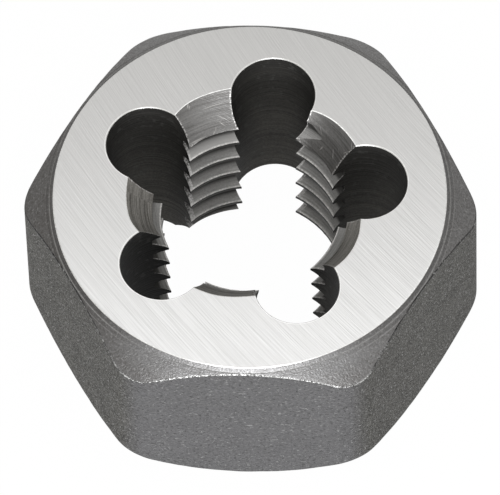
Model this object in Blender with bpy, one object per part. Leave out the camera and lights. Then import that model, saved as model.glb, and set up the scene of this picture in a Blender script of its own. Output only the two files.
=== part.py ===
"""Hex rethreading die: a hexagonal steel blank with a right-hand thread cut through its middle
and five clearance holes that part the thread into five cutting lands.

Metres, +Z up. The origin is the centre of the lower face, and two corners lie on the X axis.
"""

import math

import bmesh
import bpy
from mathutils import Matrix, Vector

# Driving dimensions, lengths in metres and angles in degrees
ACROSS_FLATS = 0.03651
THICKNESS = 0.01905
CORNER_RADIUS = 0.0040
FACE_SETBACK = 0.00049
EDGE_BAND_WIDTH = 0.00048
EDGE_BAND_ANGLE = 49.0
CHAMFER_ANGLE = 44.5
THREAD_DIAMETER = 0.01905
THREAD_PITCH = 0.00254
THREAD_DEPTH = 0.00131
THREAD_ANGLE = 60.0
CREST_FLAT = 0.00032
THREAD_TURN = 171.0
HOLE_COUNT = 5
HOLE_DIAMETER = 0.0077
HOLE_OFFSET = 0.00103
FIRST_HOLE_TURN = 8.2
COUNTERSINK_MARGIN = 0.0013
COUNTERSINK_SLOPE = 45.0

# How finely the round surfaces are divided
ROUND_STEPS = 120
CORNER_STEPS = 8
THREAD_STEPS = 90
HOLE_STEPS = 48
SHARP_ANGLE = 20.0
WELD_DISTANCE = 1e-7

FLAT_RADIUS = ACROSS_FLATS / 2
THREAD_RADIUS = THREAD_DIAMETER / 2
CREST_RADIUS = THREAD_RADIUS - THREAD_DEPTH
OVERRUN = THREAD_PITCH / 2


def around(radius, turn, height=0.0):
    """The point at this radius and height, turned this many radians from the X axis."""
    return Vector((radius * math.cos(turn), radius * math.sin(turn), height))


def mesh_object(name, bm):
    """A named object that holds the shape, with its faces pointing out."""
    bmesh.ops.recalc_face_normals(bm, faces=bm.faces)
    mesh = bpy.data.meshes.new(name)
    bm.to_mesh(mesh)
    bm.free()
    obj = bpy.data.objects.new(name, mesh)
    bpy.context.scene.collection.objects.link(obj)
    return obj


def tool(obj):
    """Marks the object as a cutter, which is drawn as wire and never rendered."""
    obj.hide_render = True
    obj.display_type = "WIRE"
    return obj


def turned(name, profile):
    """A solid of revolution about Z, from a profile of (radius, height) that starts and ends on the axis."""
    bm = bmesh.new()
    points = [bm.verts.new((radius, 0.0, height)) for radius, height in profile]
    edges = [bm.edges.new(pair) for pair in zip(points, points[1:])]
    bmesh.ops.spin(bm, geom=points + edges, axis=(0, 0, 1), angle=math.tau, steps=ROUND_STEPS)
    bmesh.ops.remove_doubles(bm, verts=bm.verts, dist=WELD_DISTANCE)
    return mesh_object(name, bm)


def hexagon_bar():
    """The hexagonal bar that the die is cut from, with its six edges rounded, longer than the die."""
    arc_centre = (FLAT_RADIUS - CORNER_RADIUS) / math.cos(math.pi / 6)
    bm = bmesh.new()
    outline = []
    for corner in range(6):
        middle = corner * math.pi / 3
        for step in range(CORNER_STEPS + 1):
            turn = middle + (step / CORNER_STEPS - 0.5) * math.pi / 3
            outline.append(bm.verts.new(around(arc_centre, middle, -OVERRUN) + around(CORNER_RADIUS, turn)))
    base = bm.faces.new(outline)
    raised = bmesh.ops.extrude_face_region(bm, geom=[base])["geom"]
    top = [item for item in raised if isinstance(item, bmesh.types.BMVert)]
    bmesh.ops.translate(bm, verts=top, vec=(0, 0, THICKNESS + 2 * OVERRUN))
    return mesh_object("hex_die", bm)


def turned_ends():
    """The form that both ends are turned to: a flat face, a narrow steep band, then a chamfer."""
    face_radius = FLAT_RADIUS - FACE_SETBACK
    band_radius = face_radius + EDGE_BAND_WIDTH
    band_height = EDGE_BAND_WIDTH * math.tan(math.radians(EDGE_BAND_ANGLE))
    outer_radius = FLAT_RADIUS / math.cos(math.pi / 6)
    chamfer_height = band_height + (outer_radius - band_radius) * math.tan(math.radians(CHAMFER_ANGLE))
    half = [(0.0, 0.0), (face_radius, 0.0), (band_radius, band_height), (outer_radius, chamfer_height)]
    other_half = [(radius, THICKNESS - height) for radius, height in reversed(half)]
    return turned("turned_ends", half + other_half)


def thread_core():
    """What the thread cut takes out: a solid core with a right-handed helical ridge, longer than the die."""
    flank = THREAD_DEPTH * math.tan(math.radians(THREAD_ANGLE / 2))
    one_turn = [
        (CREST_RADIUS, -CREST_FLAT / 2),
        (CREST_RADIUS, CREST_FLAT / 2),
        (THREAD_RADIUS, CREST_FLAT / 2 + flank),
        (THREAD_RADIUS, THREAD_PITCH - CREST_FLAT / 2 - flank),
    ]
    # The crest that stands at THREAD_TURN is at half height, and the profile is drawn at turn zero.
    lift = THICKNESS / 2 - math.radians(THREAD_TURN) / math.tau * THREAD_PITCH
    first = math.floor((-OVERRUN - lift) / THREAD_PITCH) - 1
    last = math.ceil((THICKNESS + OVERRUN - lift) / THREAD_PITCH)
    bm = bmesh.new()
    points = []
    for turn in range(first, last + 1):
        base = lift + turn * THREAD_PITCH
        points += [bm.verts.new((radius, 0.0, base + height)) for radius, height in one_turn]
    edges = [bm.edges.new(pair) for pair in zip(points, points[1:])]
    rise = (0, 0, THREAD_PITCH / THREAD_STEPS)
    bmesh.ops.spin(bm, geom=points + edges, axis=(0, 0, 1), dvec=rise, angle=math.tau, steps=THREAD_STEPS)
    bmesh.ops.remove_doubles(bm, verts=bm.verts, dist=WELD_DISTANCE)
    open_edges = [edge for edge in bm.edges if edge.is_boundary]
    for is_upper, limit in ((False, min), (True, max)):
        rim = [edge for edge in open_edges if (edge.verts[0].co.z > THICKNESS / 2) == is_upper]
        centre = bm.verts.new((0, 0, limit(vert.co.z for edge in rim for vert in edge.verts)))
        for edge in rim:
            bm.faces.new((*edge.verts, centre))
    return tool(mesh_object("thread_core", bm))


def countersink(name, face, outward):
    """The cone that opens the thread at a face and shortens its first teeth. Outward is 1 up, -1 down."""
    slope = outward * math.tan(math.radians(COUNTERSINK_SLOPE))
    radius = THREAD_RADIUS + COUNTERSINK_MARGIN
    outside = face + outward * OVERRUN
    profile = [(0.0, face - radius * slope), (radius + (outside - face) / slope, outside), (0.0, outside)]
    return tool(turned(name, profile))


def clearance_hole(number):
    """A hole through the die that gives two neighbouring lands their cutting edges and lets the chips out."""
    bm = bmesh.new()
    length = THICKNESS + 2 * OVERRUN
    turn = math.radians(FIRST_HOLE_TURN) + number * math.tau / HOLE_COUNT
    place = Matrix.Translation(around(THREAD_RADIUS + HOLE_OFFSET, turn, THICKNESS / 2))
    place = place @ Matrix.Rotation(turn, 4, "Z")
    bmesh.ops.create_cone(
        bm,
        cap_ends=True,
        segments=HOLE_STEPS,
        radius1=HOLE_DIAMETER / 2,
        radius2=HOLE_DIAMETER / 2,
        depth=length,
        matrix=place,
    )
    return tool(mesh_object(f"clearance_hole_{number + 1}", bm))


def cut(obj, cutter, operation="DIFFERENCE"):
    """Cuts the object with the cutter. The teeth run out thin on the cones, where it has to stay closed."""
    boolean = obj.modifiers.new(cutter.name, "BOOLEAN")
    boolean.solver = "MANIFOLD"
    boolean.operation = operation
    boolean.object = cutter


def brushed_steel():
    """Ground tool steel."""
    material = bpy.data.materials.new("tool_steel")
    material.use_nodes = True
    surface = material.node_tree.nodes["Principled BSDF"]
    surface.inputs["Base Color"].default_value = (0.42, 0.42, 0.43, 1.0)
    surface.inputs["Metallic"].default_value = 1.0
    surface.inputs["Roughness"].default_value = 0.42
    return material


def finish(obj, cutters):
    """Takes the cuts into the mesh, removes the cutters and shades the round surfaces smooth."""
    graph = bpy.context.evaluated_depsgraph_get()
    mesh = bpy.data.meshes.new_from_object(obj.evaluated_get(graph))
    obj.modifiers.clear()
    obj.data = mesh
    mesh.name = obj.name
    mesh.shade_smooth()
    mesh.set_sharp_from_angle(angle=math.radians(SHARP_ANGLE))
    for cutter in cutters:
        bpy.data.objects.remove(cutter)


for leftover in list(bpy.data.objects):
    bpy.data.objects.remove(leftover)

die = hexagon_bar()
die.data.materials.append(brushed_steel())
ends = tool(turned_ends())
cut(die, ends, "INTERSECT")
removed = [clearance_hole(number) for number in range(HOLE_COUNT)]
removed += [
    countersink("lower_countersink", 0.0, -1),
    countersink("upper_countersink", THICKNESS, 1),
    thread_core(),
]
for cutter in removed:
    cut(die, cutter)
finish(die, [ends, *removed])
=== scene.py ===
import math

import bmesh
import bpy
import numpy as np
from mathutils import Matrix, Vector, noise


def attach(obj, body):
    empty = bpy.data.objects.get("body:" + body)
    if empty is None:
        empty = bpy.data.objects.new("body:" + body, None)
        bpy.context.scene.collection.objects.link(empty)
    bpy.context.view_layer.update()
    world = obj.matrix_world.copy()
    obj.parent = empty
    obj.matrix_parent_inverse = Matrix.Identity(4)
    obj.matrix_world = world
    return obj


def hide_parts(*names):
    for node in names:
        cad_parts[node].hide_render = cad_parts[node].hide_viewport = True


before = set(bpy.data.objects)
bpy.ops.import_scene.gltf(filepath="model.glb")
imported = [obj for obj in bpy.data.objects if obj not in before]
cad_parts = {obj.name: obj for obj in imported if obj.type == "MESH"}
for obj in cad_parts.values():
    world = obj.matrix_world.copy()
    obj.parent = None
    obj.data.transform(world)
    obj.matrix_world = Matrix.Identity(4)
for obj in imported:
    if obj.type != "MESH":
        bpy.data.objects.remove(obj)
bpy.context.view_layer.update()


# The blank: a length of hexagonal tool steel bar. Its six flats keep the skin of the drawn and
# hardened bar, and both ends are turned to a flat face, two narrow steps and a chamfer that runs
# down to the corners. Where the chamfer meets a flat, handling has broken the edge.

THICKNESS = 0.01905
APOTHEM = 0.018255
CORNER_RADIUS = 0.0040
CORNER_SPACING = math.pi / 3
FACE_RADIUS = 0.017765
CHAMFER_FALL = math.tan(math.radians(44.5))

# How far out from the face's edge each line of the turned end lies, and how far down, in millimetres
TURNED_STEPS = [
    (-0.05, 0.0),
    (-0.01, 0.015),
    (0.03, 0.06),
    (0.29, 0.40),
    (0.32, 0.44),
    (0.39, 0.45),
    (0.42, 0.475),
    (0.66, 0.72),
    (0.71, 0.735),
    (0.74, 0.76),
]

# The least gap between two of these lines where a flat cuts them short
STEP_GAP = 2e-6

# How wide the edge between chamfer and flat is broken. Fine and long waves vary it, each given as its
# share and its waves to the metre. It stays between two limits, and the lower end is worn more. The
# seeds give each end its own wear.
BROKEN_EDGE = 0.00009
FINE_WEAR = (0.55, 900)
LONG_WEAR = (0.5, 260)
WEAR_LIMITS = (0.35, 2.2)
LOWER_WEAR = 1.6
UPPER_SEED = 3.1
LOWER_SEED = 40.7

# How finely the blank is divided round the axis, over the broken edge and down half a flat
AROUND = 900
ROUND_ROWS = 5
WALL_ROWS = 4

# How many of the steps next to the face are stoned bright, their colour raised to a painted highlight
BRIGHT_ROWS = 2

# Where the five holes stand round the bore. At the upper face their circle lies off the middle of the
# hexagon by the first shift, and at the lower face by both.
HOLE_COUNT = 5
HOLE_RADIUS = 0.00382
HOLE_CIRCLE = 0.010555
FIRST_HOLE = math.radians(8.2)
OFF_MIDDLE = (-0.00008, 0.000245)
LEAN = (-0.00012, -0.00008)

# The zones of the finished die, each with a finish of its own
SKIN, TURNED, EDGE, GROUND, DRILLED, SUNK, THREADED, BRIGHT = range(8)
finishes = {}


def hexagon_reach(turn):
    """How far the rounded hexagon reaches from the axis, for an array of turns from the X axis."""
    off = np.abs((turn + CORNER_SPACING / 2) % CORNER_SPACING - CORNER_SPACING / 2)
    centre = (APOTHEM - CORNER_RADIUS) / math.cos(CORNER_SPACING / 2)
    touches = math.atan2(CORNER_RADIUS / 2, centre + CORNER_RADIUS * math.cos(CORNER_SPACING / 2))
    arc = centre * np.cos(off) + np.sqrt(np.maximum(CORNER_RADIUS**2 - (centre * np.sin(off)) ** 2, 0))
    return np.where(off < touches, arc, APOTHEM / np.cos(CORNER_SPACING / 2 - off))


def turned_drop(radius):
    """How far below the face the turned end lies at a radius."""
    steps = np.array(TURNED_STEPS) / 1000
    last_out, last_down = steps[-1]
    out = radius - FACE_RADIUS
    near = np.interp(out, steps[:, 0], steps[:, 1])
    return np.where(out > last_out, last_down + (out - last_out) * CHAMFER_FALL, near)


def roughly(points, fineness, seed):
    """Noise from about -1 to 1 at each point, with this many lumps to the metre."""
    return np.array([noise.noise(Vector(p) * fineness + Vector((seed, 0, 0))) for p in points])


def new_object(name, verts, faces, zones):
    """A mesh object from its points, its faces and the zone of each face, facing out."""
    mesh = bpy.data.meshes.new(name)
    mesh.from_pydata([tuple(v) for v in verts], [], faces)
    mesh.polygons.foreach_set("material_index", zones)
    bm = bmesh.new()
    bm.from_mesh(mesh)
    bmesh.ops.recalc_face_normals(bm, faces=bm.faces)
    bm.to_mesh(mesh)
    bm.free()
    obj = bpy.data.objects.new(name, mesh)
    bpy.context.scene.collection.objects.link(obj)
    return obj


def blank_end(turn, reach, is_upper, seed):
    """One end of the blank as rings of (radius, drop below its face), from the face to half height."""
    edge = np.column_stack([reach * np.cos(turn), reach * np.sin(turn), np.full(AROUND, seed)])
    fine = FINE_WEAR[0] * roughly(edge, FINE_WEAR[1], seed)
    coarse = LONG_WEAR[0] * np.maximum(roughly(edge, LONG_WEAR[1], seed + 9), 0)
    broken = BROKEN_EDGE * np.clip(1 + fine + coarse, *WEAR_LIMITS) * (1 if is_upper else LOWER_WEAR)
    inner = reach - broken
    rings = []
    for left, (out, _) in zip(range(len(TURNED_STEPS), 0, -1), TURNED_STEPS):
        radius = np.minimum(FACE_RADIUS + out / 1000, inner - left * STEP_GAP)
        rings.append((radius, turned_drop(radius)))
    start = np.array([inner, turned_drop(inner)])
    corner = np.array([reach, turned_drop(reach)])
    end = np.array([reach, corner[1] + broken])
    for t in np.linspace(0, 1, ROUND_ROWS):
        rings.append((1 - t) ** 2 * start + 2 * t * (1 - t) * corner + t * t * end)
    for k in range(1, WALL_ROWS):
        rings.append((reach, end[1] + (THICKNESS / 2 - end[1]) * k / WALL_ROWS))
    return rings


def blank():
    """The turned blank without its bore, as rings of points laid down from the upper face to the lower."""
    turn = np.arange(AROUND) * math.tau / AROUND
    reach = hexagon_reach(turn)
    rings = [(radius, THICKNESS - drop) for radius, drop in blank_end(turn, reach, True, UPPER_SEED)]
    rings.append((reach, np.full(AROUND, THICKNESS / 2)))
    rings += reversed(blank_end(turn, reach, False, LOWER_SEED))
    verts = np.concatenate([np.column_stack([r * np.cos(turn), r * np.sin(turn), z]) for r, z in rings])
    faces, zones = [], []
    for row in range(len(rings) - 1):
        from_end = min(row, len(rings) - 2 - row)
        if from_end < BRIGHT_ROWS:
            zone = BRIGHT
        elif from_end < len(TURNED_STEPS):
            zone = TURNED
        elif from_end < len(TURNED_STEPS) + ROUND_ROWS - 1:
            zone = EDGE
        else:
            zone = SKIN
        upper, lower = row * AROUND, (row + 1) * AROUND
        for i in range(AROUND):
            j = (i + 1) % AROUND
            faces.append((upper + i, upper + j, lower + j, lower + i))
            zones.append(zone)
    for row in (0, len(rings) - 1):
        faces.append([row * AROUND + i for i in range(AROUND)])
        zones.append(GROUND)
    return new_object("hexagon_die", verts, faces, zones)


def add(tree, kind, inputs=None, **settings):
    """A node with its settings, and its inputs given as values or as sockets that lead to it."""
    made = tree.nodes.new("ShaderNode" + kind)
    for name, value in settings.items():
        setattr(made, name, value)
    for name, value in (inputs or {}).items():
        if isinstance(value, bpy.types.NodeSocket):
            tree.links.new(value, made.inputs[name])
        else:
            made.inputs[name].default_value = value
    return made


def math_node(tree, operation, *values):
    """The result of one sum, product or other operation."""
    return add(tree, "Math", dict(enumerate(values)), operation=operation).outputs[0]


def times(tree, first, second):
    """The product of two values."""
    return math_node(tree, "MULTIPLY", first, second)


def weighed(tree, first, first_share, second, second_share):
    """Two values added, each by its share."""
    return math_node(tree, "MULTIPLY_ADD", first, first_share, times(tree, second, second_share))


def vector_node(tree, operation, first, second):
    """The result of one sum, difference or product of two vectors."""
    return add(tree, "VectorMath", {0: first, 1: second}, operation=operation).outputs[0]


def parts(tree, vector):
    """The x, y and z of a point or a direction."""
    return add(tree, "SeparateXYZ", {0: vector}).outputs


def level_distance(tree, x, y):
    """How far a point lies from where x and y are 0."""
    flat = add(tree, "CombineXYZ", {0: x, 1: y})
    return add(tree, "VectorMath", {0: flat.outputs[0]}, operation="LENGTH").outputs["Value"]


def mixed(tree, factor, first, second):
    """Two colours mixed by a mask."""
    return add(tree, "Mix", {0: factor, 6: first, 7: second}, data_type="RGBA").outputs[2]


def spread(tree, value, low, high, to_low=0.0, to_high=1.0):
    """A value stretched from one range to another, and held there."""
    return add(tree, "MapRange", {0: value, 1: low, 2: high, 3: to_low, 4: to_high}).outputs[0]


def effect(name, takes, gives):
    """An empty shader node group with named inputs and outputs, and its two end nodes."""
    tree = bpy.data.node_groups.new(name, "ShaderNodeTree")
    for label, kind, value in takes:
        socket = tree.interface.new_socket(name=label, in_out="INPUT", socket_type="NodeSocket" + kind)
        if value is not None:
            socket.default_value = value
    for label, kind in gives:
        tree.interface.new_socket(name=label, in_out="OUTPUT", socket_type="NodeSocket" + kind)
    return tree, tree.nodes.new("NodeGroupInput").outputs, tree.nodes.new("NodeGroupOutput").inputs


def placed(tree, group, **inputs):
    """A group placed in a material with its own values."""
    made = tree.nodes.new("ShaderNodeGroup")
    made.node_tree = group
    for name, value in inputs.items():
        socket = made.inputs[name.replace("_", " ")]
        if isinstance(value, bpy.types.NodeSocket):
            tree.links.new(value, socket)
        else:
            socket.default_value = value
    return made.outputs


def place_on_die():
    """Where a point lies, in millimetres and radians, round a middle that can be off and lean.

    It also gives how far outside the nearest hole the point lies.
    """
    tree, takes, gives = effect(
        "place on the die",
        [("Middle", "Vector", (0, 0, 0)), ("Lean", "Vector", (0, 0, 0))],
        [
            ("Point", "Vector"),
            ("Radius", "Float"),
            ("Arc", "Float"),
            ("Height", "Float"),
            ("Normal", "Vector"),
            ("Past the hole", "Float"),
        ],
    )
    spot = add(tree, "TexCoord")
    point = vector_node(tree, "MULTIPLY", spot.outputs["Object"], (1000, 1000, 1000))
    below = spread(tree, parts(tree, point)[2], 0, THICKNESS * 1000, 1, 0)
    leaning = add(tree, "VectorMath", {0: takes["Lean"], "Scale": below}, operation="SCALE").outputs[0]
    middle = vector_node(tree, "ADD", takes["Middle"], leaning)
    x, y, height = parts(tree, vector_node(tree, "SUBTRACT", point, middle))
    radius = level_distance(tree, x, y)
    turn = math_node(tree, "ARCTAN2", y, x)
    share = math.tau / HOLE_COUNT
    beside = math_node(tree, "WRAP", math_node(tree, "SUBTRACT", turn, FIRST_HOLE), share / 2, -share / 2)
    along = times(tree, radius, math_node(tree, "COSINE", beside))
    aside = times(tree, radius, math_node(tree, "SINE", beside))
    from_hole = level_distance(tree, math_node(tree, "SUBTRACT", along, HOLE_CIRCLE * 1000), aside)
    tree.links.new(point, gives["Point"])
    tree.links.new(radius, gives["Radius"])
    tree.links.new(turn, gives["Arc"])
    tree.links.new(height, gives["Height"])
    tree.links.new(spot.outputs["Normal"], gives["Normal"])
    tree.links.new(math_node(tree, "SUBTRACT", from_hole, HOLE_RADIUS * 1000), gives["Past the hole"])
    return tree


def steel_grain():
    """The grain of hardened steel: a fine speckle with faint blotches, light flecks and dark pits."""
    tree, takes, gives = effect(
        "steel grain",
        [
            ("Point", "Vector", None),
            ("Blotch", "Float", 0.8),
            ("Speckle", "Float", 7.0),
            ("Fleck", "Float", 4.0),
            ("Blotchiness", "Float", 0.2),
        ],
        [("Tone", "Float"), ("Flecks", "Float"), ("Pits", "Float"), ("Height", "Float")],
    )

    def lumps(point, scale, detail, roughness):
        """Noise of one size."""
        inputs = {"Vector": point, "Scale": scale, "Detail": detail, "Roughness": roughness}
        return add(tree, "TexNoise", inputs).outputs[0]

    blotch = lumps(takes["Point"], takes["Blotch"], 3, 0.6)
    speckle = lumps(takes["Point"], takes["Speckle"], 2, 0.7)
    fleck = lumps(takes["Point"], takes["Fleck"], 1, 0.5)
    elsewhere = vector_node(tree, "ADD", takes["Point"], (31.0, 17.0, 53.0))
    pit = lumps(elsewhere, takes["Fleck"], 1, 0.5)
    both = add(tree, "Mix", {0: takes["Blotchiness"], 2: speckle, 3: blotch}).outputs[0]
    tree.links.new(spread(tree, both, 0.32, 0.68), gives["Tone"])
    tree.links.new(spread(tree, fleck, 0.60, 0.72), gives["Flecks"])
    tree.links.new(spread(tree, pit, 0.62, 0.72), gives["Pits"])
    tree.links.new(both, gives["Height"])
    return tree


def tool_lines():
    """Fine lines that a tool leaves side by side, in three widths: long along its path, narrow across."""
    tree, takes, gives = effect(
        "tool lines",
        [("Across", "Float", 0), ("Along", "Float", 0), ("Fineness", "Float", 6.0), ("Length", "Float", 8.0)],
        [("Lines", "Float"), ("Scores", "Float")],
    )

    def lines(fineness):
        """Lines of one width."""
        across = times(tree, takes["Across"], times(tree, takes["Fineness"], fineness))
        along = math_node(tree, "DIVIDE", takes["Along"], takes["Length"])
        spot = add(tree, "CombineXYZ", {0: across, 1: along, 2: 7.7 * fineness}).outputs[0]
        inputs = {"Vector": spot, "Scale": 1.0, "Detail": 1.5, "Roughness": 0.6}
        return add(tree, "TexNoise", inputs).outputs[0]

    narrow, wider, widest = lines(1.0), lines(0.36), lines(0.11)
    total = math_node(tree, "ADD", times(tree, narrow, 0.60), times(tree, wider, 0.28))
    total = math_node(tree, "ADD", total, times(tree, widest, 0.12))
    tree.links.new(spread(tree, total, 0.32, 0.68), gives["Lines"])
    tree.links.new(spread(tree, wider, 0.70, 0.80), gives["Scores"])
    return tree


place_group, grain_group, line_group = place_on_die(), steel_grain(), tool_lines()


def new_finish(zone, name, metallic, roughness, middle=OFF_MIDDLE, lean=LEAN):
    """A material with the values that are the same all over its surface set on the shader."""
    material = bpy.data.materials.new(name)
    material.use_nodes = True
    tree = material.node_tree
    shader = tree.nodes["Principled BSDF"]
    shader.inputs["Metallic"].default_value = metallic
    shader.inputs["Roughness"].default_value = roughness
    finishes[zone] = material
    off = [(1000 * x, 1000 * y, 0) for x, y in (middle, lean)]
    return tree, shader, placed(tree, place_group, Middle=off[0], Lean=off[1])


def relief(tree, shader, height, distance):
    """Raises the surface by a height from 0 to 1, over this distance in metres."""
    bump = add(tree, "Bump", {"Strength": 1.0, "Distance": distance, "Height": height})
    tree.links.new(bump.outputs[0], shader.inputs["Normal"])


# In the finishes below, places are in millimetres, turns in radians, and which way a surface faces
# goes from -1 to 1. Each range tells where a finish begins and where it is in full.

def bar_skin():
    """The dull hardened skin of the flats, sandy, with short light flecks along the bar, dark pits and painted
    shade at the sides.
    """
    front_dark, front_light = (0.0615, 0.0607, 0.062, 1), (0.0975, 0.0965, 0.099, 1)
    shaded_side_dark, shaded_side_light = (0.018, 0.0172, 0.0148, 1), (0.092, 0.0896, 0.0815, 1)
    pit, fleck, shade = (0.03, 0.0295, 0.028, 1), (0.29, 0.29, 0.288, 1), (0.016, 0.0155, 0.014, 1)
    stretch = (0.7, 1.4, 1.3)

    tree, shader, at = new_finish(SKIN, "bar skin", 0.5, 0.7)
    facing = parts(tree, at["Normal"])[0]
    at_side = spread(tree, math_node(tree, "ABSOLUTE", facing), 0.35, 0.75)
    right_shade_mask = spread(tree, facing, 0.25, 0.6, 0, 0.14)
    drawn = vector_node(tree, "MULTIPLY", at["Point"], stretch)
    grain = placed(tree, grain_group, Point=drawn, Blotch=0.4, Speckle=4.5, Fleck=4.2, Blotchiness=0.15)

    # Painted shade: the flats that face the sides take darker copies of the front colours, and those facing
    # right are darker still.
    front = mixed(tree, grain["Tone"], front_dark, front_light)
    side = mixed(tree, spread(tree, grain["Tone"], 0.2, 0.8), shaded_side_dark, shaded_side_light)
    tint = mixed(tree, at_side, front, side)
    tint = mixed(tree, times(tree, grain["Pits"], 0.45), tint, pit)
    flecked = times(tree, grain["Flecks"], spread(tree, at_side, 0, 1, 0.5, 0.8))
    tint = mixed(tree, flecked, tint, fleck)
    tree.links.new(mixed(tree, right_shade_mask, tint, shade), shader.inputs["Base Color"])
    tree.links.new(spread(tree, grain["Tone"], 0, 1, 0.78, 0.6), shader.inputs["Roughness"])
    height = math_node(tree, "MULTIPLY_ADD", grain["Flecks"], 0.3, grain["Height"])
    relief(tree, shader, math_node(tree, "MULTIPLY_ADD", grain["Pits"], -0.4, height), 0.00036)


def turned_chamfer():
    """The turned ends outside the ground face, dulled by hardening, with rings of painted highlight and shade
    at the two steps and a painted highlight at the front.
    """
    dark, light, left_darker_tint = (0.090, 0.0865, 0.084, 1), (0.174, 0.172, 0.172, 1), (0.04, 0.033, 0.026, 1)
    pit, fleck, front_chamfer_highlight = (0.06, 0.054, 0.048, 1), (0.34, 0.34, 0.335, 1), (0.235, 0.237, 0.242, 1)
    shade_ring = (0.03, 0.029, 0.028, 1)
    inner_highlight_ring, outer_highlight_ring = (0.36, 0.36, 0.35, 1), (0.30, 0.30, 0.295, 1)

    tree, shader, at = new_finish(TURNED, "turned chamfer", 0.85, 0.45, middle=(0, 0), lean=(0, 0))
    arc = times(tree, at["Arc"], 18.0)
    rings = placed(tree, line_group, Across=at["Radius"], Along=arc, Fineness=9.0, Length=12.0)
    grain = placed(tree, grain_group, Point=at["Point"], Blotch=0.7, Speckle=5.5, Fleck=4.0, Blotchiness=0.15)
    x, y, _ = parts(tree, at["Point"])
    out = math_node(tree, "SUBTRACT", at["Radius"], FACE_RADIUS * 1000)

    tint = mixed(tree, weighed(tree, rings["Lines"], 0.03, grain["Tone"], 0.92), dark, light)
    # Darker and browner towards the left.
    tint = mixed(tree, spread(tree, x, -9.0, -16.0, 0, 0.32), tint, left_darker_tint)
    tint = mixed(tree, times(tree, grain["Pits"], 0.55), tint, pit)
    tint = mixed(tree, times(tree, grain["Flecks"], 0.3), tint, fleck)
    # Painted highlight on the front of the chamfer, near the face's edge.
    front_highlight_mask = times(tree, spread(tree, out, 1.0, 2.0, 0.22, 0), spread(tree, y, -16.0, -14.0, 1, 0))
    tint = mixed(tree, front_highlight_mask, tint, front_chamfer_highlight)

    # The rings at the two steps, by how far out each lies, half its width and its strength, are painted
    # highlights on the flat tops of the steps and painted shade on the steep bands between. The painted
    # shade hardly shows at the front.
    broken = spread(tree, rings["Lines"], 0.2, 0.8, 0.3, 1)
    behind = spread(tree, y, -17.0, -9.0, 0.1, 1)
    for place, half, strength, ring_tint in (
        (0.15, 0.13, 0.5, shade_ring),
        (0.36, 0.05, 0.42, inner_highlight_ring),
        (0.56, 0.10, 0.4, shade_ring),
        (0.725, 0.04, 0.32, outer_highlight_ring),
    ):
        beside = math_node(tree, "ABSOLUTE", math_node(tree, "SUBTRACT", out, place))
        ring = times(tree, spread(tree, beside, half * 0.6, half, strength, 0), broken)
        if ring_tint is shade_ring:
            ring = times(tree, ring, behind)
        tint = mixed(tree, ring, tint, ring_tint)
    tree.links.new(tint, shader.inputs["Base Color"])
    tree.links.new(spread(tree, grain["Tone"], 0, 1, 0.5, 0.4), shader.inputs["Roughness"])
    relief(tree, shader, math_node(tree, "MULTIPLY_ADD", rings["Lines"], 0.01, grain["Height"]), 0.00006)


def worn_edge():
    """The edges where the chamfers meet the flats: cracked, with a broken painted highlight at the upper
    front.
    """
    dark, light, crack = (0.012, 0.0115, 0.011, 1), (0.06, 0.059, 0.057, 1), (0.006, 0.006, 0.006, 1)
    fleck, bright = (0.45, 0.45, 0.44, 1), (0.45, 0.45, 0.445, 1)

    tree, shader, at = new_finish(EDGE, "worn edge", 0.9, 0.38)
    grain = placed(tree, grain_group, Point=at["Point"], Blotch=0.9, Speckle=6.0, Fleck=2.4, Blotchiness=0.3)
    _, facing_back, facing_up = parts(tree, at["Normal"])
    # Painted highlight, broken up by the grain, where the edge faces up and to the front.
    upper_front = times(tree, spread(tree, facing_back, -0.50, -0.68), spread(tree, facing_up, 0, 0.3))
    highlight_mask = times(tree, upper_front, spread(tree, grain["Tone"], 0.3, 0.75, 0.08, 0.9))

    tint = mixed(tree, grain["Tone"], dark, light)
    tint = mixed(tree, grain["Pits"], tint, crack)
    tint = mixed(tree, times(tree, grain["Flecks"], 0.6), tint, fleck)
    tree.links.new(mixed(tree, highlight_mask, tint, bright), shader.inputs["Base Color"])
    relief(tree, shader, grain["Height"], 0.00012)


def ground_face():
    """Both faces, ground bright after hardening by a wheel that swings on a wide arc."""
    dark, light = (0.60, 0.60, 0.598, 1), (0.70, 0.70, 0.699, 1)
    score, stoned_highlight = (0.47, 0.47, 0.465, 1), (0.95, 0.95, 0.94, 1)
    wheel_centre = (118.0, 92.0, 0.0)

    tree, shader, at = new_finish(GROUND, "ground face", 1.0, 0.36)
    x, y, _ = parts(tree, vector_node(tree, "SUBTRACT", at["Point"], wheel_centre))
    swing = times(tree, math_node(tree, "ARCTAN2", y, times(tree, x, -1)), 150.0)
    across = level_distance(tree, x, y)
    lines = placed(tree, line_group, Across=across, Along=swing, Fineness=9.5, Length=6.0)

    tint = mixed(tree, lines["Lines"], dark, light)
    tint = mixed(tree, times(tree, lines["Scores"], 0.35), tint, score)
    # A stoned ring round each hole, its colour raised to a painted highlight.
    tint = mixed(tree, spread(tree, at["Past the hole"], 0.08, 0.145, 0.9, 0), tint, stoned_highlight)
    tree.links.new(tint, shader.inputs["Base Color"])
    tree.links.new(spread(tree, lines["Lines"], 0, 1, 0.42, 0.32), shader.inputs["Roughness"])
    relief(tree, shader, lines["Lines"], 0.000012)


def bright_edge():
    """The broken edges of the ground faces, where the stone leaves a thin bright line, raised to a painted
    highlight.
    """
    dark, light = (0.45, 0.45, 0.44, 1), (0.90, 0.90, 0.89, 1)

    tree, shader, at = new_finish(BRIGHT, "bright edge", 1.0, 0.3)
    grain = placed(tree, grain_group, Point=at["Point"], Blotch=2.0, Speckle=9.0, Fleck=3.0)
    # Painted highlight on the stoned edges, broken up by the grain.
    tree.links.new(mixed(tree, grain["Tone"], dark, light), shader.inputs["Base Color"])


bar_skin()
turned_chamfer()
worn_edge()
ground_face()
bright_edge()
die = blank()


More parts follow.
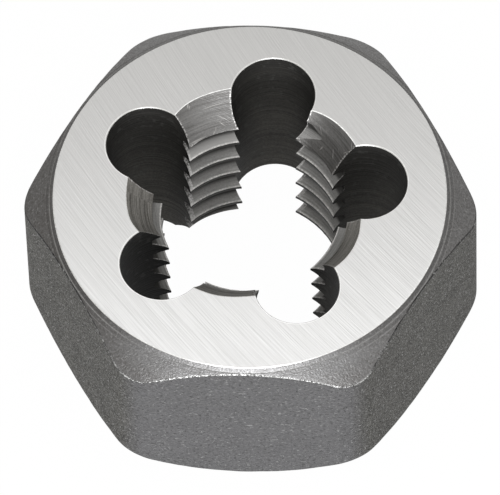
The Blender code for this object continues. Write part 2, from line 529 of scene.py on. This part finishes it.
# The clearance holes: five holes drilled through the blank round the bore. They part the thread
# into five lands, give them their cutting edges and take the chips. Their walls stay dark from the
# hardening, with faint rings from the drill and painted shade, and their mouths are stoned bright at
# the faces, their colour raised to a painted highlight.

MOUTH_BREAK = 0.00006
DRILLED_STEPS = 180

# How far the cutters reach past the faces
BEYOND = 0.001

# How far four of the holes lie off their places, and how much further two of them lean
OWN_OFF = {0: (0, -0.00002), 1: (0.00001, 0), 2: (0.00003, 0.00001), 3: (0.00002, 0)}
OWN_LEAN = {1: (0, 0.00005), 2: (0, -0.00062)}


def lathe(name, profile, steps, zones):
    """A turned solid from (radius, height) points that start and end on the axis, with a zone for each step.

    A radius or a height is one value, or one for each step of the turn.
    """
    turn = np.arange(steps) * math.tau / steps
    rows = [(np.broadcast_to(r, steps), np.broadcast_to(z, steps)) for r, z in profile[1:-1]]
    rings = [np.column_stack([r * np.cos(turn), r * np.sin(turn), z]) for r, z in rows]
    verts = np.concatenate([[(0, 0, profile[0][1]), (0, 0, profile[-1][1])], *rings])
    faces, face_zones = [], []
    for i in range(steps):
        j = (i + 1) % steps
        faces.append((0, 2 + i, 2 + j))
        face_zones.append(zones[0])
        for row in range(len(rows) - 1):
            a, b = 2 + row * steps, 2 + (row + 1) * steps
            faces.append((a + i, a + j, b + j, b + i))
            face_zones.append(zones[row + 1])
        last = 2 + (len(rows) - 1) * steps
        faces.append((last + i, last + j, 1))
        face_zones.append(zones[-1])
    return new_object(name, verts, faces, face_zones)


def moved_off(obj, off=OFF_MIDDLE, lean=LEAN):
    """Shifts and leans a cutter as the bore lies."""
    for vert in obj.data.vertices:
        below = 1 - vert.co.z / THICKNESS
        vert.co.x += off[0] + lean[0] * below
        vert.co.y += off[1] + lean[1] * below
    return obj


def clearance_hole(number):
    """One hole with its two broken mouths."""
    wide = HOLE_RADIUS + BEYOND + MOUTH_BREAK
    profile = [
        (0.0, -BEYOND),
        (wide, -BEYOND),
        (HOLE_RADIUS, MOUTH_BREAK),
        (HOLE_RADIUS, THICKNESS - MOUTH_BREAK),
        (wide, THICKNESS + BEYOND),
        (0.0, THICKNESS + BEYOND),
    ]
    zones = [BRIGHT, BRIGHT, DRILLED, BRIGHT, BRIGHT]
    hole = lathe(f"clearance_hole_{number + 1}", profile, DRILLED_STEPS, zones)
    turn = FIRST_HOLE + number * math.tau / HOLE_COUNT
    place = (HOLE_CIRCLE * math.cos(turn), HOLE_CIRCLE * math.sin(turn), 0)
    hole.data.transform(Matrix.Translation(place))
    own_off, own_lean = OWN_OFF.get(number, (0, 0)), OWN_LEAN.get(number, (0, 0))
    off = (OFF_MIDDLE[0] + own_off[0], OFF_MIDDLE[1] + own_off[1])
    lean = (LEAN[0] + own_lean[0], LEAN[1] + own_lean[1])
    return moved_off(hole, off, lean)


def drilled_wall():
    """The walls of the holes, dark from the hardening, with rings from the drill, a few scratches and painted
    shade.
    """
    dark, light, painted_shade = (0.018, 0.0172, 0.0152, 1), (0.125, 0.119, 0.105, 1), (0.005, 0.0048, 0.0045, 1)
    score, fleck = (0.15, 0.145, 0.14, 1), (0.12, 0.12, 0.115, 1)

    tree, shader, at = new_finish(DRILLED, "drilled wall", 0.6, 0.7)
    shader.inputs["Specular IOR Level"].default_value = 0.3
    arc = times(tree, at["Arc"], 10.0)
    slope = math_node(tree, "MULTIPLY_ADD", at["Radius"], 0.08, at["Height"])
    rings = placed(tree, line_group, Across=slope, Along=arc, Fineness=7.0, Length=9.0)
    grain = placed(tree, grain_group, Point=at["Point"], Blotch=0.6, Speckle=6.0, Fleck=1.6)
    tint = mixed(tree, weighed(tree, rings["Lines"], 0.42, grain["Tone"], 0.4), dark, light)

    # Painted shade, darkest near the upper face, on the walls at the sides and in the front-left hole
    x, y, _ = parts(tree, at["Point"])
    front = times(tree, spread(tree, y, 1.0, -3.0), spread(tree, x, -2.0, 3.0, 0.95, 0.2))
    near_face = spread(tree, at["Height"], 8.0, 18.5, 0, 0.85)
    facing_side = math_node(tree, "ABSOLUTE", parts(tree, at["Normal"])[0])
    scale = math_node(tree, "MAXIMUM", near_face, spread(tree, facing_side, 0.3, 0.95, 0, 0.75))
    tint = mixed(tree, math_node(tree, "MAXIMUM", scale, front), tint, painted_shade)

    tint = mixed(tree, times(tree, rings["Scores"], 0.15), tint, score)
    tint = mixed(tree, times(tree, grain["Flecks"], 0.2), tint, fleck)
    tree.links.new(tint, shader.inputs["Base Color"])
    relief(tree, shader, rings["Lines"], 0.00003)


drilled_wall()
holes = [clearance_hole(number) for number in range(HOLE_COUNT)]


# The countersinks: a cone at each end of the bore, turned before the thread is cut, so that the
# first teeth are shorter and a bolt finds its way in. The tool leaves swirls on the cones, painted
# lighter and darker by land as painted light and shade, and the edges against the holes are sharp,
# with bright burrs and a painted highlight.

SINK_AROUND = 360
SINK_INSIDE = 0.0055
RIM_BREAK = 0.00006
RIM_RISE = 0.4

# Over how many degrees to each side the rim is evened out
RIM_EVENING = 3

# How each cone lies on each land: turns in degrees, radii of the rim in millimetres, slopes in degrees.
# The upper one draws in towards the end of each land, where the wheel that relieved it ran out.
UPPER_SINK = [
    (28, 10.86, 50), (35, 10.84, 51), (44, 10.80, 51), (50, 10.69, 51), (56, 10.48, 51), (62, 10.20, 50),
    (98, 11.17, 40), (110, 11.13, 40), (118, 11.10, 40), (124, 10.99, 41), (130, 10.72, 41), (135, 10.5, 41),
    (170, 11.1, 45), (190, 11.09, 45), (195, 11.06, 45), (199, 10.92, 45), (203, 10.65, 45), (208, 10.4, 45),
    (243, 10.88, 48), (251, 10.92, 48), (256, 10.93, 48), (264, 10.80, 48), (270, 10.67, 48), (278, 10.55, 48),
    (314, 10.88, 44), (322, 11.03, 44), (329, 11.04, 44), (338, 10.85, 44), (344, 10.58, 44), (351, 10.29, 44),
]
LOWER_SINK = [
    (28, 10.9, 45), (62, 10.95, 45),
    (98, 10.25, 45), (110, 10.38, 45), (124, 10.52, 45), (136, 10.51, 45),
    (170, 10.9, 45),
]


def countersink(name, face, outward, table):
    """The cone at one face, with its rim broken like the holes. Outward is 1 up, -1 down."""
    turns, *columns = np.array(table).T
    columns = [np.interp(np.arange(SINK_AROUND), turns, column, period=360) for column in columns]
    steps = range(-RIM_EVENING, RIM_EVENING + 1)
    reach, slope = (sum(np.roll(column, k) for k in steps) / len(steps) for column in columns)
    reach, fall = reach / 1000, np.tan(np.radians(slope))
    start = reach - RIM_BREAK / 2
    start_drop = RIM_BREAK / 2 * fall
    depth = (reach - SINK_INSIDE) * fall
    profile = [
        (0.0, face - outward * np.max(depth)),
        (SINK_INSIDE, face - outward * depth),
        (start, face - outward * start_drop),
        (start + (BEYOND + start_drop) / RIM_RISE, face + outward * BEYOND),
        (0.0, face + outward * BEYOND),
    ]
    return moved_off(lathe(name, profile, SINK_AROUND, [SUNK, SUNK, BRIGHT, BRIGHT]))


def countersunk_cone():
    """The cones, with turned swirls, finer than the rest, crossed by stray scratches, with painted light and
    shade by land and a painted highlight along the edges.
    """
    dark, dark_end = (0.092, 0.089, 0.086, 1), (0.215, 0.213, 0.21, 1)
    shaded_cone, shaded_cone_end = (0.055, 0.053, 0.051, 1), (0.15, 0.147, 0.143, 1)
    pale, pale_end = (0.075, 0.071, 0.064, 1), (0.40, 0.388, 0.365, 1)
    score, bright = (0.46, 0.45, 0.435, 1), (0.62, 0.61, 0.6, 1)

    tree, shader, at = new_finish(SUNK, "countersunk cone", 0.9, 0.45)
    arc = times(tree, at["Arc"], 10.0)
    rings = placed(tree, line_group, Across=at["Radius"], Along=arc, Fineness=8.0, Length=5.0)
    slant = math_node(tree, "MULTIPLY_ADD", at["Radius"], 1.3, times(tree, arc, -0.8))
    other = math_node(tree, "MULTIPLY_ADD", at["Radius"], 0.8, arc)
    scratches = placed(tree, line_group, Across=slant, Along=other, Fineness=11.0, Length=2.5)
    crossing = placed(tree, line_group, Across=other, Along=slant, Fineness=9.0, Length=2.0)
    grain = placed(tree, grain_group, Point=at["Point"], Blotch=0.8, Speckle=6.0, Fleck=3.0)

    # Painted light and shade: the cones on the back lands are dark, the more so low on the right, and those at
    # the front are pale
    tone = weighed(tree, rings["Lines"], 0.7, grain["Tone"], 0.3)
    x, y, _ = parts(tree, at["Point"])
    inner = times(tree, spread(tree, at["Radius"], 10.8, 9.2, 0.2, 1), spread(tree, x, 1.0, 3.0))
    back = mixed(tree, inner, mixed(tree, tone, dark, dark_end), mixed(tree, tone, shaded_cone, shaded_cone_end))
    tint = mixed(tree, spread(tree, y, 5.0, 2.0), back, mixed(tree, tone, pale, pale_end))

    scored = math_node(tree, "MAXIMUM", scratches["Scores"], crossing["Scores"])
    scored = math_node(tree, "MAXIMUM", scored, rings["Scores"])
    tint = mixed(tree, times(tree, scored, 0.85), tint, score)
    # The edges against the holes and at the first crest are bright burrs with a painted highlight, broken up
    # by the grain.
    at_hole = spread(tree, at["Past the hole"], 0.1, 0.17, 1, 0)
    edge = math_node(tree, "MAXIMUM", at_hole, spread(tree, at["Radius"], 8.18, 8.3, 1, 0))
    uneven = spread(tree, grain["Tone"], 0.35, 0.75, 0.0, 0.85)
    tint = mixed(tree, times(tree, edge, uneven), tint, bright)
    tree.links.new(tint, shader.inputs["Base Color"])
    height = math_node(tree, "MULTIPLY_ADD", scratches["Lines"], 0.5, rings["Lines"])
    relief(tree, shader, height, 0.00002)


countersunk_cone()
sinks = [
    countersink("lower_countersink", 0.0, -1, LOWER_SINK),
    countersink("upper_countersink", THICKNESS, 1, UPPER_SINK),
]


# The thread: a right-handed thread of ten to the inch, cut through the bore. Its crests are narrow
# flats with slightly ragged edges, and its flanks are smooth and grey from the hardening. The pitch
# is the one read off the photograph, 2 per cent more than ten to the inch.

THREAD_RADIUS = 0.009525
CREST_RADIUS = 0.00812
PITCH = 0.002588
CREST_FLAT = 0.00032
FLANK = (THREAD_RADIUS - CREST_RADIUS) * math.tan(math.radians(30.0))
CREST_TURN = math.radians(175.3)
CREST_ROUND = 0.00005
THREAD_OFF = (-0.000025, 0.000367)
THREAD_LEAN = (0.000199, -0.000354)
THREAD_AROUND = 240

# How ragged the crests are, up and down in metres and in and out as a share of their radius, each
# with its lumps to the metre
RAGGED_HEIGHT = (0.00002, 2600)
RAGGED_RADIUS = (0.0022, 1500)

# Between which heights the uppermost groove lies at turn zero, and the share of its depth that it has
# at some turns, in degrees. It fades out under the cone.
TOP_GROOVE = (0.0162, 0.01845)
RUN_OUT = [(18, 0), (37, 0), (42, 0.5), (48, 0.85), (56, 1), (72, 1), (88, 0), (145, 0), (155, 1), (348, 1)]


def closed_ends(obj):
    """Closes both ends of a core with a fan of faces."""
    bm = bmesh.new()
    bm.from_mesh(obj.data)
    open_edges = [edge for edge in bm.edges if edge.is_boundary]
    for is_upper, limit in ((False, min), (True, max)):
        rim = [edge for edge in open_edges if (edge.verts[0].co.z > THICKNESS / 2) == is_upper]
        centre = bm.verts.new((0, 0, limit(vert.co.z for edge in rim for vert in edge.verts)))
        for edge in rim:
            bm.faces.new((*edge.verts, centre))
    bmesh.ops.recalc_face_normals(bm, faces=bm.faces)
    bm.to_mesh(obj.data)
    bm.free()
    return obj


def thread_core():
    """What the cut takes out: a core with a helical ridge, in columns of points that climb as it turns."""
    half = CREST_FLAT / 2
    profile = [
        (CREST_RADIUS, -half + CREST_ROUND),
        (CREST_RADIUS, half - CREST_ROUND),
        (CREST_RADIUS + CREST_ROUND, half + CREST_ROUND / 2),
        (THREAD_RADIUS - CREST_ROUND, half + FLANK - CREST_ROUND / 2),
        (THREAD_RADIUS, half + FLANK + CREST_ROUND),
        (THREAD_RADIUS, PITCH - half - FLANK - CREST_ROUND),
        (THREAD_RADIUS - CREST_ROUND, PITCH - half - FLANK + CREST_ROUND / 2),
        (CREST_RADIUS + CREST_ROUND, PITCH - half - CREST_ROUND / 2),
    ]
    lift = THICKNESS / 2 - CREST_TURN / math.tau * PITCH
    first = math.floor((-BEYOND - lift) / PITCH) - 1
    last = math.ceil((THICKNESS + BEYOND - lift) / PITCH)
    column = [(r, lift + turn * PITCH + z) for turn in range(first, last + 1) for r, z in profile]
    verts = []
    for i in range(THREAD_AROUND):
        turn = i * math.tau / THREAD_AROUND
        share = np.interp(math.degrees(turn), *zip(*RUN_OUT), period=360)
        for r, z in column:
            if TOP_GROOVE[0] < z < TOP_GROOVE[1]:
                r = CREST_RADIUS + (r - CREST_RADIUS) * share
            verts.append((r * math.cos(turn), r * math.sin(turn), z + PITCH * i / THREAD_AROUND))
    verts = np.array(verts)
    crest = np.hypot(verts[:, 0], verts[:, 1]) < CREST_RADIUS + 1.5 * CREST_ROUND
    verts[crest, 2] += RAGGED_HEIGHT[0] * roughly(verts[crest], RAGGED_HEIGHT[1], seed=5.0)
    ragged = 1 + RAGGED_RADIUS[0] * roughly(verts[crest], RAGGED_RADIUS[1], seed=15.0)
    verts[crest, :2] *= ragged[:, None]
    tall = len(column)
    faces = []
    for i in range(THREAD_AROUND):
        j = (i + 1) % THREAD_AROUND
        climb = len(profile) if j == 0 else 0
        for k in range(tall - 1 - climb):
            faces.append((i * tall + k, j * tall + k + climb, j * tall + k + 1 + climb, i * tall + k + 1))
    core = new_object("thread_core", verts, faces, [THREADED] * len(faces))
    return moved_off(closed_ends(core), THREAD_OFF, THREAD_LEAN)


def cut_thread():
    """The teeth: dull grey flanks, lined along the helix, with painted light and shade: paler downwards, dark
    at the root and the crest, with a painted highlight beside the crest.
    """
    upper, upper_end = (0.112, 0.111, 0.107, 1), (0.289, 0.287, 0.281, 1)
    lower, lower_end = (0.157, 0.154, 0.148, 1), (0.406, 0.4, 0.387, 1)
    first_flank, groove, root = (0.37, 0.366, 0.358, 1), (0.05, 0.049, 0.046, 1), (0.02, 0.0195, 0.018, 1)
    worn, burr_and_highlight, crest = (0.72, 0.71, 0.69, 1), (0.62, 0.61, 0.6, 1), (0.035, 0.034, 0.032, 1)

    tree, shader, at = new_finish(THREADED, "cut thread", 0.55, 0.55, THREAD_OFF, THREAD_LEAN)
    arc = times(tree, at["Arc"], 9.0)
    lines = placed(tree, line_group, Across=at["Radius"], Along=arc, Fineness=9.0, Length=4.0)
    grain = placed(tree, grain_group, Point=at["Point"], Blotch=0.8, Speckle=6.0, Fleck=3.0)
    tone = weighed(tree, lines["Lines"], 0.65, grain["Tone"], 0.35)
    out = math_node(tree, "SUBTRACT", at["Radius"], CREST_RADIUS * 1000)

    # The teeth are painted paler downwards as painted light, and the first flank is light on the back-left
    # land
    at_top = spread(tree, at["Height"], 14.0, 14.6)
    at_land = times(tree, at_top, spread(tree, at["Arc"], 1.2, 1.6, 0, 0.75))
    at_land = times(tree, at_land, spread(tree, at["Arc"], 2.5, 2.7, 1, 0))
    tint = mixed(tree, at_land, mixed(tree, tone, upper, upper_end), first_flank)
    tint = mixed(tree, spread(tree, at["Height"], 15.0, 5.0), tint, mixed(tree, tone, lower, lower_end))

    # Painted shade darkens the grooves inwards, the shallow uppermost one later than the rest
    deep = math_node(tree, "SUBTRACT", out, spread(tree, at["Height"], 15.6, 16.4, 0, 0.4))
    tint = mixed(tree, spread(tree, deep, 0.25, 0.9, 0, 0.45), tint, groove)
    tint = mixed(tree, spread(tree, deep, 0.72, 0.95, 0, 0.85), tint, root)

    # Next to the crest the flank has a painted highlight, and so has the edge against the hole, with bright
    # burrs there too. The crest itself is painted dark as painted shade.
    by_crest = spread(tree, out, 0.1, 0.2, 1, 0)
    by_crest = times(tree, by_crest, spread(tree, grain["Tone"], 0.3, 0.8, 0.35, 0.95))
    tint = mixed(tree, by_crest, tint, worn)
    by_hole = spread(tree, at["Past the hole"], 0.05, 0.1, 1, 0)
    by_hole = times(tree, by_hole, spread(tree, grain["Tone"], 0.3, 0.8, 0.1, 0.7))
    tint = mixed(tree, by_hole, tint, burr_and_highlight)
    tint = mixed(tree, spread(tree, out, 0.02, 0.05, 1, 0), tint, crest)
    tree.links.new(tint, shader.inputs["Base Color"])
    relief(tree, shader, lines["Lines"], 0.000015)


cut_thread()


# Cutting: the blank is drilled, countersunk and threaded, and each cut leaves its own finish.

# The angle in degrees over which an edge shows sharp
SHARP_ANGLE = 14.0

cutters = [*holes, *sinks, thread_core()]
for piece in (die, *cutters):
    for zone in sorted(finishes):
        piece.data.materials.append(finishes[zone])
for cutter in cutters:
    cut = die.modifiers.new(cutter.name, "BOOLEAN")
    cut.solver = "MANIFOLD"
    cut.operation = "DIFFERENCE"
    cut.object = cutter
cut_mesh = bpy.data.meshes.new_from_object(die.evaluated_get(bpy.context.evaluated_depsgraph_get()))
die.modifiers.clear()
die.data = cut_mesh
cut_mesh.name = "hexagon_die"
for cutter in cutters:
    bpy.data.objects.remove(cutter)
cut_mesh.shade_smooth()
cut_mesh.set_sharp_from_angle(angle=math.radians(SHARP_ANGLE))
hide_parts("hex_die")
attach(die, "root")


# The table and the light: a pale table in a pale room, with two soft lights at the front and a small
# panel over the die. To the camera and in reflections the table is white, and it keeps the shadow.

TABLE_SIDE = 6.0

# The share of plain white in what the camera sees of the table. The rest takes the shadow.
WHITE_SHARE = 0.985

# The height that the lights are aimed at
MIDDLE_HEIGHT = 0.012


def table():
    """The table, which shows white to the camera and in the steel."""
    mesh = bpy.data.meshes.new("table")
    side = TABLE_SIDE / 2
    corners = [(-side, -side, 0), (side, -side, 0), (side, side, 0), (-side, side, 0)]
    mesh.from_pydata(corners, [], [(0, 1, 2, 3)])
    obj = bpy.data.objects.new("table", mesh)
    bpy.context.scene.collection.objects.link(obj)
    material = bpy.data.materials.new("pale table")
    material.use_nodes = True
    tree = material.node_tree
    tree.nodes.clear()
    ray = add(tree, "LightPath")
    seen = math_node(tree, "MAXIMUM", ray.outputs["Is Camera Ray"], ray.outputs["Is Glossy Ray"])
    seen = math_node(tree, "MAXIMUM", seen, ray.outputs["Is Transmission Ray"])
    matt = add(tree, "BsdfDiffuse", {"Color": (0.92, 0.92, 0.92, 1)})
    white = add(tree, "Emission", {"Color": (1, 1, 1, 1), "Strength": 1.0})
    share = times(tree, seen, WHITE_SHARE)
    both = add(tree, "MixShader", {0: share, 1: matt.outputs[0], 2: white.outputs[0]})
    add(tree, "OutputMaterial", {0: both.outputs[0]})
    mesh.materials.append(material)


def room():
    """The even pale light of the room."""
    world = bpy.data.worlds.new("pale room")
    bpy.context.scene.world = world
    world.use_nodes = True
    even = world.node_tree.nodes["Background"]
    even.inputs["Color"].default_value = (1.0, 0.988, 0.962, 1.0)
    even.inputs["Strength"].default_value = 0.77


def soft_light(name, place, aim, wide, high, power):
    """A softbox that faces a point, with its size in metres and its power in watts."""
    lamp = bpy.data.lights.new(name, "AREA")
    lamp.shape = "RECTANGLE"
    lamp.size = wide
    lamp.size_y = high
    lamp.energy = power
    lamp.color = (0.98, 0.985, 1.0)
    obj = bpy.data.objects.new(name, lamp)
    bpy.context.scene.collection.objects.link(obj)
    obj.location = place
    obj.rotation_euler = (Vector(aim) - Vector(place)).to_track_quat("-Z", "Y").to_euler()
    obj.visible_camera = False


def standing(turn, height, distance):
    """The place this far from the die, turned from its front and raised by two angles in degrees."""
    turn, height = math.radians(turn), math.radians(height)
    ahead = distance * math.cos(height)
    return (math.sin(turn) * ahead, -math.cos(turn) * ahead, distance * math.sin(height) + MIDDLE_HEIGHT)


table()
room()
middle = (0.0, 0.0, MIDDLE_HEIGHT)
soft_light("level front light", standing(0, 6, 0.5), middle, 0.3, 0.08, 3.26)
soft_light("front light", standing(5, 20, 0.5), middle, 0.3, 0.2, 0.80)
soft_light("panel over the die", (0.042, -0.010, 0.08), (0.042, -0.010, 0), 0.17, 0.07, 0.034)


# The camera stands nearly over the die, far off, with a long lens. It is turned to the right of the
# front, raised by its height and tilted about its view, by three angles in degrees.

CAMERA_TURN = 3.798
CAMERA_HEIGHT = 60.18
CAMERA_TILT = -1.985
CAMERA_DISTANCE = 59.0 * APOTHEM
LENS = 859.4

# How far right of the middle of the upper face and how far over it the camera is aimed
AIM_RIGHT = -0.0076 * APOTHEM
AIM_UP = -0.2548 * APOTHEM


def camera():
    """The camera at the photograph's place."""
    turn, height, tilt = (math.radians(angle) for angle in (CAMERA_TURN, CAMERA_HEIGHT, CAMERA_TILT))
    back = Vector((math.sin(turn) * math.cos(height), -math.cos(turn) * math.cos(height), math.sin(height)))
    right = Vector((math.cos(turn), math.sin(turn), 0))
    up = back.cross(right)
    tilted_right = math.cos(tilt) * right + math.sin(tilt) * up
    tilted_up = -math.sin(tilt) * right + math.cos(tilt) * up
    target = right * AIM_RIGHT + up * AIM_UP + Vector((0, 0, THICKNESS))
    data = bpy.data.cameras.new("camera")
    data.sensor_width = 36.0
    data.sensor_fit = "HORIZONTAL"
    data.lens = LENS
    data.clip_start = 0.01
    data.clip_end = 50.0
    obj = bpy.data.objects.new("camera", data)
    bpy.context.scene.collection.objects.link(obj)
    matrix = Matrix((tilted_right, tilted_up, back)).transposed().to_4x4()
    matrix.translation = target + back * CAMERA_DISTANCE
    obj.matrix_world = matrix
    bpy.context.scene.camera = obj


camera()
bpy.context.scene.view_settings.view_transform = "Standard"
